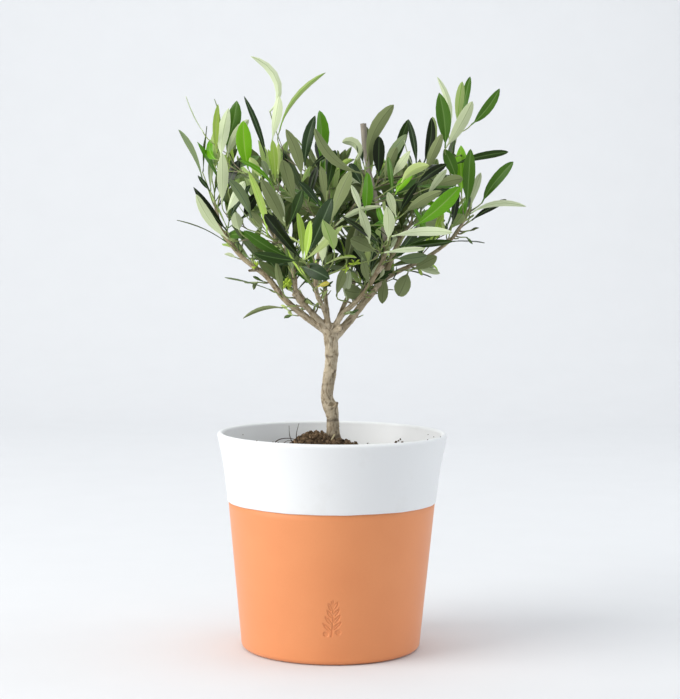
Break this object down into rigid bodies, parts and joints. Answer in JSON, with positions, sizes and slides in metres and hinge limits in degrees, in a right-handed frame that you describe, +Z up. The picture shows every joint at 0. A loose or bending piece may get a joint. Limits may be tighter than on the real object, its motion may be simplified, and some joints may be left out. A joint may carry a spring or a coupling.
{
  "type": "potted olive tree",
  "caption": "Small olive tree with a kinked slim trunk and an open, vase-shaped crown of narrow leaves, in a round flared terracotta pot with a white dipped rim.",
  "frame": {"origin": "centre of the pot's flat underside, on the surface it stands on", "axes": "+Z up along the pot's axis, -Y towards the front, +X to the right of the front"},
  "size_m": [0.2484, 0.1892, 0.419],
  "materials": {
    "terracotta": "matte bare clay",
    "white_coat": "matte white dipped coat",
    "soil": "dark crumbly potting compost",
    "bark": "thin grey-brown bark with rings and scars",
    "foliage": "leathery leaves, dark and satin above, grey-green below"
  },
  "bodies": {
    "root": {"pot_terracotta": "terracotta", "pot_white_band": "white_coat", "soil_bed": "soil", "soil_mound": "soil", "trunk": "bark", "bough_left_outer": "bark", "bough_left_inner": "bark", "bough_centre_front": "bark", "bough_centre_rear": "bark", "bough_right_inner": "bark", "bough_right_outer": "bark", "bough_right_spread": "bark", "bough_rear_left": "bark", "bough_rear_right": "bark", "foliage_left_outer": "foliage", "foliage_left_crown": "foliage", "foliage_left_front": "foliage", "foliage_left_rear": "foliage", "foliage_centre": "foliage", "foliage_centre_front": "foliage", "foliage_centre_rear": "foliage", "foliage_centre_right": "foliage", "foliage_right_front": "foliage", "foliage_right_rear": "foliage", "foliage_right_crown": "foliage", "foliage_right_outer": "foliage", "foliage_right_low": "foliage", "foliage_left_low": "foliage"}
  },
  "joints": []
}
